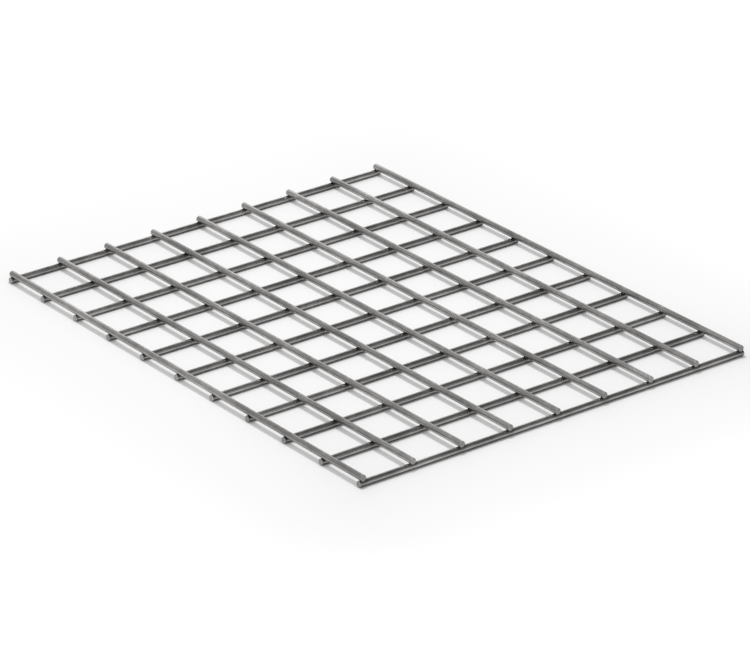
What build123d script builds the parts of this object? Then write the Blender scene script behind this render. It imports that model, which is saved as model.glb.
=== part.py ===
from build123d import *

import os

# A flat piece of welded steel wire mesh, lying on its cross wires. Millimetres.
# X runs along the cross wires, which are the lower layer, and Y along the line wires, which lie
# on them. +Z is up. The origin is in the middle of the sheet, on the plane that the sheet lies on.

LINE_WIRE = 5.72  # thickness of a line wire, across its flats
CROSS_WIRE = 5.72  # thickness of a cross wire, across its flats
WIRE_SIDES = 12  # flats round a wire, with one flat at the bottom and one at the top
LINE_WIRES = 9
CROSS_WIRES = 11
LINE_PITCH = 50.8  # from one line wire to the next, along X
CROSS_PITCH = 50.8  # from one cross wire to the next, along Y
LINE_OVERHANG = 2.3  # how far the line wires run past the middle of the last cross wire
CROSS_OVERHANG = 3.3  # how far the cross wires run past the middle of the last line wire
WELD_SET_DOWN = 0.5  # how far the two layers are pressed into each other by the welding

LINE_LENGTH = (CROSS_WIRES - 1) * CROSS_PITCH + 2 * LINE_OVERHANG
CROSS_LENGTH = (LINE_WIRES - 1) * LINE_PITCH + 2 * CROSS_OVERHANG
CROSS_HEIGHT = CROSS_WIRE / 2
LINE_HEIGHT = CROSS_WIRE - WELD_SET_DOWN + LINE_WIRE / 2


def wire(thickness, length, along):
    """A straight wire with square-cut ends, centred on the origin and running along an axis."""
    across = Plane(origin=(0, 0, 0), x_dir=(0, 0, 1), z_dir=along)
    section = RegularPolygon(thickness / 2, WIRE_SIDES, major_radius=False, rotation=180 / WIRE_SIDES)
    return extrude(across * section, length / 2, both=True)


def layer(one_wire, places, height):
    """Copies of a wire, side by side with their middles at the height given."""
    return [Pos(0, 0, height) * place * one_wire for place in places]


def welded_mesh():
    """The two layers of wires, fused into one solid where they cross."""
    cross_wire = wire(CROSS_WIRE, CROSS_LENGTH, (1, 0, 0))
    line_wire = wire(LINE_WIRE, LINE_LENGTH, (0, 1, 0))
    lower = layer(cross_wire, GridLocations(1, CROSS_PITCH, 1, CROSS_WIRES), CROSS_HEIGHT)
    upper = layer(line_wire, GridLocations(LINE_PITCH, 1, LINE_WIRES, 1), LINE_HEIGHT)
    return lower[0].fuse(*lower[1:], *upper)


os.makedirs("parts", exist_ok=True)
export_step(welded_mesh(), "parts/welded_mesh.step")
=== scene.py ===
import math

import bpy
import numpy as np
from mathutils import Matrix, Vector


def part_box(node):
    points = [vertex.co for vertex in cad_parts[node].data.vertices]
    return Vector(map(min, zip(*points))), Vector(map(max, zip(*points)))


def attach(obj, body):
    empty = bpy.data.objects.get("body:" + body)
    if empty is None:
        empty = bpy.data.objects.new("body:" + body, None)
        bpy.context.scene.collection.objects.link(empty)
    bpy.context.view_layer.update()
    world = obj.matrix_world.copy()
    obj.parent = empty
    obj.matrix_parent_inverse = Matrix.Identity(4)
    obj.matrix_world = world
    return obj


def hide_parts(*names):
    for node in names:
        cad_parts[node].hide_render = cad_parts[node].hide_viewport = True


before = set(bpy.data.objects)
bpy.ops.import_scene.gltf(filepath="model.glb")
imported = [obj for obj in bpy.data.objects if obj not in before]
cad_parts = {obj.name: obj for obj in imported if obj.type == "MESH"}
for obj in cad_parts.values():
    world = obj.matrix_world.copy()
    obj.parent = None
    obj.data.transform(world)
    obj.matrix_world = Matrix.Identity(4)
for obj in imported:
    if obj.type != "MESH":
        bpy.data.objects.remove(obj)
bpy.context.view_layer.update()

MM = 0.001

# The sheet's sizes, which are the solid's own
LINE_WIRES = 9  # upper layer, along Y
CROSS_WIRES = 11  # lower layer, along X
PITCH = 50.8 * MM
WIRE_RADIUS = 2.86 * MM
LINE_OVERHANG = 2.3 * MM  # from the middle of the last wire crossed to the cut end
CROSS_OVERHANG = 3.3 * MM
LINE_PLACES = [(i - (LINE_WIRES - 1) / 2) * PITCH for i in range(LINE_WIRES)]
CROSS_PLACES = [(i - (CROSS_WIRES - 1) / 2) * PITCH for i in range(CROSS_WIRES)]
LINE_LENGTH = CROSS_PLACES[-1] - CROSS_PLACES[0] + 2 * LINE_OVERHANG
CROSS_LENGTH = LINE_PLACES[-1] - LINE_PLACES[0] + 2 * CROSS_OVERHANG
SHEET_LOW, SHEET_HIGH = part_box("welded_mesh")
CROSS_HEIGHT = SHEET_LOW.z + WIRE_RADIUS
LINE_HEIGHT = SHEET_HIGH.z - WIRE_RADIUS
WELD_HEIGHT = (CROSS_HEIGHT + LINE_HEIGHT) / 2

# How finely the wires are drawn
WIRE_SIDES = 28
RINGS_BY_A_WELD = [0, 0.8 * MM, 1.7 * MM, 2.6 * MM, 3.8 * MM]  # distances from the weld's middle
RINGS_BETWEEN_WELDS = 1
RINGS_APART = 0.2 * MM  # least distance from a ring to the rounding of the wire's end
SHARP_ANGLE = math.radians(22)

# What welding and shearing leave on a wire
ELECTRODE_DEPTH = 0.12 * MM  # depth of the flat on a wire's outer side over a weld
ELECTRODE_REACH = 2 * MM  # distance along the wire over which the flat fades
END_BACKS = [0, 0.05 * MM, 0.2 * MM, 0.5 * MM]  # distances back from a cut end
END_LOSSES = [0.35 * MM, 0.2 * MM, 0.06 * MM, 0]  # how much smaller the wire's radius is there

# The collar of metal squeezed out round each weld
COLLAR_SIDES = 28
COLLAR_STEPS = 7
COLLAR_WIDTH = 0.25 * MM  # how far its waist stands out past the line where the wires meet
COLLAR_WAVES = 5  # how many waves round it make its width uneven
COLLAR_WANDER = 0.35  # how strong they are, as a share of the width
COLLAR_SHARES = (0.35, 2)  # least and greatest width, as shares of the even one
COLLAR_FLARE = 0.35 * MM  # how much further its two rims reach
COLLAR_FLARE_POWER = 1.7  # how much of the flare is close to the rims
COLLAR_BITE = 0.06 * MM  # how far its rims sink into the wires
COLLAR_CORE = 0.6 * MM  # height of its closed ends above and below the weld's middle
HALVINGS = 40  # steps of the search for the line where the wires meet
SEED = 7

# The camera, held upright, looking at a point beside the sheet's middle, almost on the floor
CAMERA_AZIMUTH = math.radians(-37.58282)
CAMERA_ELEVATION = math.radians(24.57461)
CAMERA_DISTANCE = 3.86744
CAMERA_TARGET = Vector((-0.003184, -0.011418, -0.000836))
CAMERA_LENS = 213.70
SENSOR_WIDTH = 36.0

# The floor. Seen straight or mirrored in the wires, it has the brightness that the light gives it and a
# share of its own near the sheet, and is plain white away from it. For all other light it is matt.
FLOOR_REACH = 12
FLOOR_HEIGHT = -0.1 * MM
FLOOR_MATT = 0.93  # its colour for all other light
FLOOR_LIT = 0.71  # its colour where it is seen near the sheet
FLOOR_OWN = 0.24  # its own brightness there
FLOOR_OWN_CLEAR = 5 * MM  # an object nearer than this takes some of its own brightness away
FLOOR_WHITE_FROM = 0.12  # distance from the sheet

# The lamp over the sheet
LAMP_PLACE = Vector((-0.055, 0.05, 1.3))
LAMP_SIZE = 0.26
LAMP_SHARE = 0.51  # of the light that a level floor needs to look as bright as its colour

# The panel behind the sheet
PANEL_PLACE = Vector((0.45, 1.0, 0.36))
PANEL_SIZE = (1.3, 0.6)
PANEL_LEVEL = 0.9

# The room: its brightness by the sine of the elevation, then two patches of it, each given by a direction
# and the angles from it where the patch begins to fade and has ended
ROOM_LEVELS = [(0.0, 0.28), (0.25, 0.6), (0.45, 0.66), (0.65, 0.6), (0.85, 0.66), (1.0, 0.55)]
DARK_SIDE = ((1, -0.2, 0.95), 25, 50)
DARK_LEVEL = 0.16
WINDOW = ((0.55, 0.75, 0.37), 8, 26)
WINDOW_LEVEL = 0.7

# The steel's colours and its range of roughness. The line and cross wires are one steel in two copies: the
# cross wires' copy is painted lighter than the line wires', standing in for how each layer is lit.
EDGE_TINT = (0.75, 0.75, 0.75, 1)  # the steel reflects less towards a wire's outline than a mirror would
LINE_STEEL_DARKER_COPY = (0.354, 0.348, 0.340)
CROSS_STEEL_LIGHTER_COPY = (0.406, 0.400, 0.391)
WIRE_ROUGHNESS = (0.18, 0.28)
# The collars' colour is darker partly as burnt steel and partly as painted shade where the wires meet
WELD_BURN_AND_SHADE = (0.18, 0.176, 0.17)
WELD_ROUGHNESS = (0.45, 0.6)

# Its unevenness: the size of the spots, how much longer they are along the wire, and their detail
STREAKS = (1.1 * MM, 14, 3)
STREAK_DEPTH = 0.08
MOTTLE = (3 * MM, 2, 4)
MOTTLE_DEPTH = 0.12
DRIFT = (45 * MM, 1, 2)
DRIFT_DEPTH = 0.27
NOISE_RANGE = (0.3, 0.7)  # what nearly all of a noise's values lie between
DRAW_MARK_DEPTH = 0.05 * MM  # relief of the marks that drawing left along a wire
DRAW_MARK_STRENGTH = 0.1

# Where its colour carries painted shade or is cleaner, as shares of its colour
PAINTED_SHADE_HEIGHTS = (2.0 * MM, 3.1 * MM)  # painted shade: the heights between which the steel is painted darker towards the floor, where the floor shades it
PAINTED_SHADE_SHARE = 0.46
WELD_SHADE_AND_TINT_REACH = (3.4 * MM, 8 * MM)  # how far from a weld the steel is darkened fully, and at all: painted shade where the wires meet, and partly heat tint
WELD_SHADE_AND_TINT_HEIGHT_FACTOR = 2  # how much more a distance in height counts
WELD_SHADE_AND_TINT_SHARE = 0.58
CUT_REACH = 0.7 * MM  # how far back from a cut end the steel is rough and clean
CUT_SHARE = 1.0
CUT_ROUGHNESS = 0.55


def stations(length, crossings):
    """Places along a wire where it has a ring of points: by each weld, between welds, and at its ends."""
    found = {place + side * step for place in crossings for side in (-1, 1) for step in RINGS_BY_A_WELD}
    reach = RINGS_BY_A_WELD[-1]
    for before, after in zip(crossings, crossings[1:]):
        gap = (after - before - 2 * reach) / (RINGS_BETWEEN_WELDS + 1)
        found |= {before + reach + gap * (k + 1) for k in range(RINGS_BETWEEN_WELDS)}
    last = length / 2 - END_BACKS[-1] - RINGS_APART
    kept = [place for place in found if abs(place) < last]
    return sorted(kept + [side * (length / 2 - back) for side in (-1, 1) for back in END_BACKS])


def tube_faces(rings, sides):
    """Faces between neighbouring rings of points, which are counted ring by ring."""
    faces = []
    for start in range(0, (rings - 1) * sides, sides):
        for k in range(sides):
            a, b = start + k, start + (k + 1) % sides
            faces.append((a, b, b + sides, a + sides))
    return faces


def wire_mesh(length, crossings, outer):
    """Points and faces of one wire along X, centred on the origin.

    The electrodes pressed its top where outer is 1, and its underside where outer is -1.
    """
    places = stations(length, crossings)
    points = []
    for place in places:
        radius = WIRE_RADIUS - np.interp(length / 2 - abs(place), END_BACKS, END_LOSSES)
        from_weld = min(abs(place - crossing) for crossing in crossings)
        flat = WIRE_RADIUS - ELECTRODE_DEPTH * math.exp(-((from_weld / ELECTRODE_REACH) ** 2))
        for k in range(WIRE_SIDES):
            turn = 2 * math.pi * (k + 0.5) / WIRE_SIDES
            across, up = radius * math.cos(turn), radius * math.sin(turn)
            points.append((place, across, outer * min(outer * up, flat)))
    last_ring = len(points) - WIRE_SIDES
    ends = [tuple(range(WIRE_SIDES))[::-1], tuple(range(last_ring, len(points)))]
    return np.array(points), tube_faces(len(places), WIRE_SIDES) + ends


def collar_mesh(rng):
    """Points and faces of one weld's collar, with the crossing at the origin of X and Y."""
    turns = 2 * np.pi * np.arange(COLLAR_SIDES) / COLLAR_SIDES

    def lower_top(y):
        return CROSS_HEIGHT + np.sqrt(np.maximum(WIRE_RADIUS**2 - y**2, 0))

    def upper_bottom(x):
        return LINE_HEIGHT - np.sqrt(np.maximum(WIRE_RADIUS**2 - x**2, 0))

    near, far = np.zeros(COLLAR_SIDES), np.full(COLLAR_SIDES, WIRE_RADIUS)
    for _ in range(HALVINGS):
        middle = (near + far) / 2
        touching = lower_top(middle * np.sin(turns)) > upper_bottom(middle * np.cos(turns))
        near, far = np.where(touching, middle, near), np.where(touching, far, middle)
    waves = sum(
        rng.normal() * np.cos(n * turns + rng.uniform(0, 2 * np.pi)) / n
        for n in range(1, COLLAR_WAVES + 1)
    )
    waist = near + COLLAR_WIDTH * np.clip(1 + COLLAR_WANDER * waves, *COLLAR_SHARES)

    points = []
    for rise in np.linspace(-1, 1, COLLAR_STEPS):
        radius = waist + COLLAR_FLARE * abs(rise) ** COLLAR_FLARE_POWER
        x, y = radius * np.cos(turns), radius * np.sin(turns)
        low, high = lower_top(y), upper_bottom(x)
        z = (low + high) / 2 + rise * ((high - low) / 2 + COLLAR_BITE)
        points += list(zip(x, y, z))
    last_ring = len(points) - COLLAR_SIDES
    bottom, top = len(points), len(points) + 1
    points += [(0, 0, WELD_HEIGHT - COLLAR_CORE), (0, 0, WELD_HEIGHT + COLLAR_CORE)]
    neighbours = [(k, (k + 1) % COLLAR_SIDES) for k in range(COLLAR_SIDES)]
    faces = tube_faces(COLLAR_STEPS, COLLAR_SIDES)
    faces += [(bottom, b, a) for a, b in neighbours]
    faces += [(top, last_ring + a, last_ring + b) for a, b in neighbours]
    return np.array(points), faces


def placed(part, x, y, z, along="X"):
    """The points and faces of a part made along X, turned if it goes along Y, and moved to its place."""
    points, faces = part
    if along == "Y":
        points = np.stack([-points[:, 1], points[:, 0], points[:, 2]], axis=1)
    return points + np.array([x, y, z]), faces


def add_object(name, data):
    made = bpy.data.objects.new(name, data)
    bpy.context.scene.collection.objects.link(made)
    return made


def mesh_object(name, parts, material):
    """One object made of several meshes, which are given as pairs of points and faces."""
    points, faces = [], []
    for part_points, part_faces in parts:
        start = len(points)
        points += [tuple(point) for point in part_points]
        faces += [tuple(start + corner for corner in face) for face in part_faces]
    mesh = bpy.data.meshes.new(name)
    mesh.from_pydata(points, [], faces)
    mesh.materials.append(material)
    return add_object(name, mesh)


def union(target, other):
    """Joins another closed mesh to the target and removes it."""
    modifier = target.modifiers.new("union", "BOOLEAN")
    modifier.operation = "UNION"
    modifier.solver = "MANIFOLD"
    modifier.object = other
    modifier.material_mode = "TRANSFER"
    bpy.context.view_layer.update()
    graph = bpy.context.evaluated_depsgraph_get()
    joined = bpy.data.meshes.new_from_object(target.evaluated_get(graph))
    target.modifiers.clear()
    target.data = joined
    bpy.data.objects.remove(other)


def grey(level):
    return (level, level, level, 1)


def add_node(tree, kind, inputs, **settings):
    """A new shader node. Each of the inputs is given as the socket that feeds it, or as its value."""
    made = tree.nodes.new(kind)
    for setting, value in settings.items():
        setattr(made, setting, value)
    for name, source in inputs.items():
        if isinstance(source, bpy.types.NodeSocket):
            tree.links.new(source, made.inputs[name])
        else:
            made.inputs[name].default_value = source
    return made


def calculated(tree, operation, *operands):
    """The result of a Math node."""
    return add_node(tree, "ShaderNodeMath", dict(enumerate(operands)), operation=operation).outputs[0]


def vector_node(tree, operation, *operands):
    return add_node(tree, "ShaderNodeVectorMath", dict(enumerate(operands)), operation=operation)


def ranged(tree, source, from_range, to_range, **settings):
    """A number carried over from one range of numbers to another."""
    names = ("From Min", "From Max", "To Min", "To Max")
    inputs = {"Value": source} | dict(zip(names, (*from_range, *to_range)))
    return add_node(tree, "ShaderNodeMapRange", inputs, **settings).outputs["Result"]


def wire_noise(tree, where, along, size, stretch, detail):
    """Noise with spots of a size, drawn out along the wire."""
    squeeze = (1 / stretch, 1, 1) if along == "X" else (1, 1 / stretch, 1)
    mapping = add_node(tree, "ShaderNodeMapping", {"Vector": where, "Scale": squeeze})
    inputs = {"Vector": mapping.outputs["Vector"], "Scale": 1 / size, "Detail": detail}
    return add_node(tree, "ShaderNodeTexNoise", inputs).outputs["Fac"]


def distance_to_weld(tree, place):
    """The distance to the nearest weld, which counts for more in height than along the sheet."""
    offsets = {axis: calculated(tree, "PINGPONG", place.outputs[axis], PITCH / 2) for axis in "XY"}
    base = -WELD_SHADE_AND_TINT_HEIGHT_FACTOR * WELD_HEIGHT
    offsets["Z"] = calculated(tree, "MULTIPLY_ADD", place.outputs["Z"], WELD_SHADE_AND_TINT_HEIGHT_FACTOR, base)
    together = add_node(tree, "ShaderNodeCombineXYZ", offsets)
    return vector_node(tree, "LENGTH", together.outputs[0]).outputs["Value"]


def new_material(name):
    material = bpy.data.materials.new(name)
    material.use_nodes = True
    return material, material.node_tree


def steel(name, along, colour, roughness, half_length):
    """Bare drawn steel with painted shade towards the floor and near the welds, for wires along 'X' or 'Y'
    that are cut off half_length from the sheet's middle.
    """
    material, tree = new_material(name)
    shader = tree.nodes["Principled BSDF"]
    shader.inputs["Metallic"].default_value = 1.0
    shader.inputs["Specular Tint"].default_value = EDGE_TINT
    where = tree.nodes.new("ShaderNodeTexCoord").outputs["Object"]
    place = add_node(tree, "ShaderNodeSeparateXYZ", {"Vector": where})
    streaks = wire_noise(tree, where, along, *STREAKS)
    mottle = wire_noise(tree, where, along, *MOTTLE)
    drift = wire_noise(tree, where, along, *DRIFT)

    smooth = {"interpolation_type": "SMOOTHSTEP"}
    # painted shade: darker towards the floor, standing in for the shade where a wire rests on the floor
    low_painted_shade = ranged(tree, place.outputs["Z"], PAINTED_SHADE_HEIGHTS, (PAINTED_SHADE_SHARE, 1), **smooth)
    # painted shade near each weld, where the wires shade each other, and partly heat tint
    weld_shade_and_tint = ranged(tree, distance_to_weld(tree, place), WELD_SHADE_AND_TINT_REACH, (WELD_SHADE_AND_TINT_SHARE, 1), **smooth)
    from_middle = calculated(tree, "ABSOLUTE", place.outputs[along])
    cut_zone = (half_length - CUT_REACH, half_length - CUT_REACH / 2)
    clean_cut = ranged(tree, from_middle, cut_zone, (0, CUT_SHARE))
    brightness = calculated(tree, "MAXIMUM", calculated(tree, "MULTIPLY", low_painted_shade, weld_shade_and_tint), clean_cut)
    for noise, depth in ((streaks, STREAK_DEPTH), (mottle, MOTTLE_DEPTH), (drift, DRIFT_DEPTH)):
        uneven = ranged(tree, noise, NOISE_RANGE, (1 - depth, 1 + depth), clamp=False)
        brightness = calculated(tree, "MULTIPLY", brightness, uneven)
    coloured = add_node(tree, "ShaderNodeVectorMath", {0: colour, "Scale": brightness}, operation="SCALE")
    tree.links.new(coloured.outputs[0], shader.inputs["Base Color"])

    rough_cut = ranged(tree, from_middle, cut_zone, (0, CUT_ROUGHNESS))
    roughened = calculated(tree, "MAXIMUM", ranged(tree, mottle, NOISE_RANGE, roughness), rough_cut)
    tree.links.new(roughened, shader.inputs["Roughness"])
    relief = {"Height": streaks, "Distance": DRAW_MARK_DEPTH, "Strength": DRAW_MARK_STRENGTH}
    bump = add_node(tree, "ShaderNodeBump", relief)
    tree.links.new(bump.outputs["Normal"], shader.inputs["Normal"])
    return material


def make_sheet():
    """The round wires and the weld collars, joined into one closed mesh."""
    rng = np.random.default_rng(SEED)
    cross_wire = wire_mesh(CROSS_LENGTH, LINE_PLACES, -1)
    line_wire = wire_mesh(LINE_LENGTH, CROSS_PLACES, 1)
    cross = [placed(cross_wire, 0, y, CROSS_HEIGHT) for y in CROSS_PLACES]
    line = [placed(line_wire, x, 0, LINE_HEIGHT, along="Y") for x in LINE_PLACES]
    collars = [placed(collar_mesh(rng), x, y, 0) for x in LINE_PLACES for y in CROSS_PLACES]
    cross_steel = steel("cross_wire_steel", "X", CROSS_STEEL_LIGHTER_COPY, WIRE_ROUGHNESS, CROSS_LENGTH / 2)
    line_steel = steel("line_wire_steel", "Y", LINE_STEEL_DARKER_COPY, WIRE_ROUGHNESS, LINE_LENGTH / 2)
    weld_steel_burnt_and_shaded = steel("weld_steel_burnt_and_shaded", "X", WELD_BURN_AND_SHADE, WELD_ROUGHNESS, CROSS_LENGTH / 2)
    sheet = mesh_object("mesh_sheet", cross, cross_steel)
    union(sheet, mesh_object("line_wires", line, line_steel))
    union(sheet, mesh_object("weld_collars", collars, weld_steel_burnt_and_shaded))
    sheet.data.shade_smooth()
    sheet.data.set_sharp_from_angle(angle=SHARP_ANGLE)
    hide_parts("welded_mesh")
    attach(sheet, "root")


def floor_material():
    """Shaded near the sheet and plain white away from it where it is seen or mirrored, and otherwise matt."""
    material, tree = new_material("floor_white")
    tree.nodes.remove(tree.nodes["Principled BSDF"])
    where = tree.nodes.new("ShaderNodeTexCoord").outputs["Object"]
    folded = vector_node(tree, "ABSOLUTE", where).outputs[0]
    past = vector_node(tree, "SUBTRACT", folded, (SHEET_HIGH.x, SHEET_HIGH.y, 0)).outputs[0]
    outside = vector_node(tree, "MAXIMUM", past, (0, 0, 0)).outputs[0]
    distance = vector_node(tree, "LENGTH", outside).outputs["Value"]
    away = ranged(tree, distance, (0, FLOOR_WHITE_FROM), (0, 1))

    unblocked = add_node(tree, "ShaderNodeAmbientOcclusion", {"Distance": FLOOR_OWN_CLEAR}).outputs["Color"]
    own = add_node(tree, "ShaderNodeEmission", {"Color": unblocked, "Strength": FLOOR_OWN}).outputs[0]
    lit = add_node(tree, "ShaderNodeBsdfDiffuse", {"Color": grey(FLOOR_LIT)}).outputs[0]
    near = add_node(tree, "ShaderNodeAddShader", {0: lit, 1: own}).outputs[0]
    white = add_node(tree, "ShaderNodeEmission", {"Strength": 1}).outputs[0]
    seen = add_node(tree, "ShaderNodeMixShader", {0: away, 1: near, 2: white}).outputs[0]

    matt = add_node(tree, "ShaderNodeBsdfDiffuse", {"Color": grey(FLOOR_MATT)}).outputs[0]
    rays = tree.nodes.new("ShaderNodeLightPath").outputs
    looking = calculated(tree, "MAXIMUM", rays["Is Camera Ray"], rays["Is Glossy Ray"])
    surface = add_node(tree, "ShaderNodeMixShader", {0: looking, 1: matt, 2: seen}).outputs[0]
    tree.links.new(surface, tree.nodes["Material Output"].inputs["Surface"])
    return material


def make_floor():
    signs = ((-1, -1), (1, -1), (1, 1), (-1, 1))
    corners = [(x * FLOOR_REACH, y * FLOOR_REACH, FLOOR_HEIGHT) for x, y in signs]
    floor = mesh_object("floor", [(corners, [(0, 1, 2, 3)])], floor_material())


def make_camera():
    across = math.cos(CAMERA_ELEVATION)
    away = Vector(
        (math.sin(CAMERA_AZIMUTH) * across, -math.cos(CAMERA_AZIMUTH) * across, math.sin(CAMERA_ELEVATION))
    )
    data = bpy.data.cameras.new("camera")
    data.lens = CAMERA_LENS
    data.sensor_width = SENSOR_WIDTH
    camera = add_object("camera", data)
    camera.location = CAMERA_TARGET + away * CAMERA_DISTANCE
    camera.rotation_euler = (-away).to_track_quat("-Z", "Y").to_euler()
    bpy.context.scene.camera = camera


def add_lamp(name, shape, place, size, power):
    """An area lamp of a width and height, facing the origin."""
    data = bpy.data.lights.new(name, "AREA")
    data.shape = shape
    data.size, data.size_y = size
    data.energy = power
    lamp = add_object(name, data)
    lamp.location = place
    lamp.rotation_euler = place.to_track_quat("Z", "Y").to_euler()


def make_lamps():
    """A soft lamp over the sheet and a low panel behind it."""
    power = LAMP_SHARE * math.pi * math.pi * LAMP_PLACE.z**2
    add_lamp("overhead", "DISK", LAMP_PLACE, (LAMP_SIZE, LAMP_SIZE), power)
    width, height = PANEL_SIZE
    add_lamp("back_panel", "RECTANGLE", PANEL_PLACE, PANEL_SIZE, PANEL_LEVEL * math.pi * width * height)


def make_room():
    """A pale room all round, which the camera sees as white."""
    world = bpy.data.worlds.new("room")
    world.use_nodes = True
    bpy.context.scene.world = world
    tree = world.node_tree
    where = tree.nodes.new("ShaderNodeTexCoord").outputs["Generated"]

    def patch(towards, near, far):
        """1 within an angle of a direction, falling to 0 at a larger angle from it."""
        cosine = vector_node(tree, "DOT_PRODUCT", where, Vector(towards).normalized()).outputs["Value"]
        limits = (math.cos(math.radians(far)), math.cos(math.radians(near)))
        return ranged(tree, cosine, limits, (0, 1), interpolation_type="SMOOTHSTEP")

    def mixed(factor, room, level):
        inputs = {"Factor": factor, "A": room, "B": grey(level)}
        return add_node(tree, "ShaderNodeMix", inputs, data_type="RGBA").outputs["Result"]

    height = add_node(tree, "ShaderNodeSeparateXYZ", {"Vector": where}).outputs["Z"]
    ramp = add_node(tree, "ShaderNodeValToRGB", {"Fac": height})
    elements = ramp.color_ramp.elements
    while len(elements) < len(ROOM_LEVELS):
        elements.new(0.5)  # moved to its position below
    for element, (position, level) in zip(elements, ROOM_LEVELS):
        element.position = position
        element.color = grey(level)
    room = mixed(patch(*DARK_SIDE), ramp.outputs["Color"], DARK_LEVEL)
    room = mixed(patch(*WINDOW), room, WINDOW_LEVEL)
    rays = tree.nodes.new("ShaderNodeLightPath").outputs
    room = mixed(rays["Is Camera Ray"], room, 1)
    tree.links.new(room, tree.nodes["Background"].inputs["Color"])


make_camera()
make_sheet()
make_floor()
make_lamps()
make_room()
bpy.context.scene.view_settings.view_transform = "Standard"
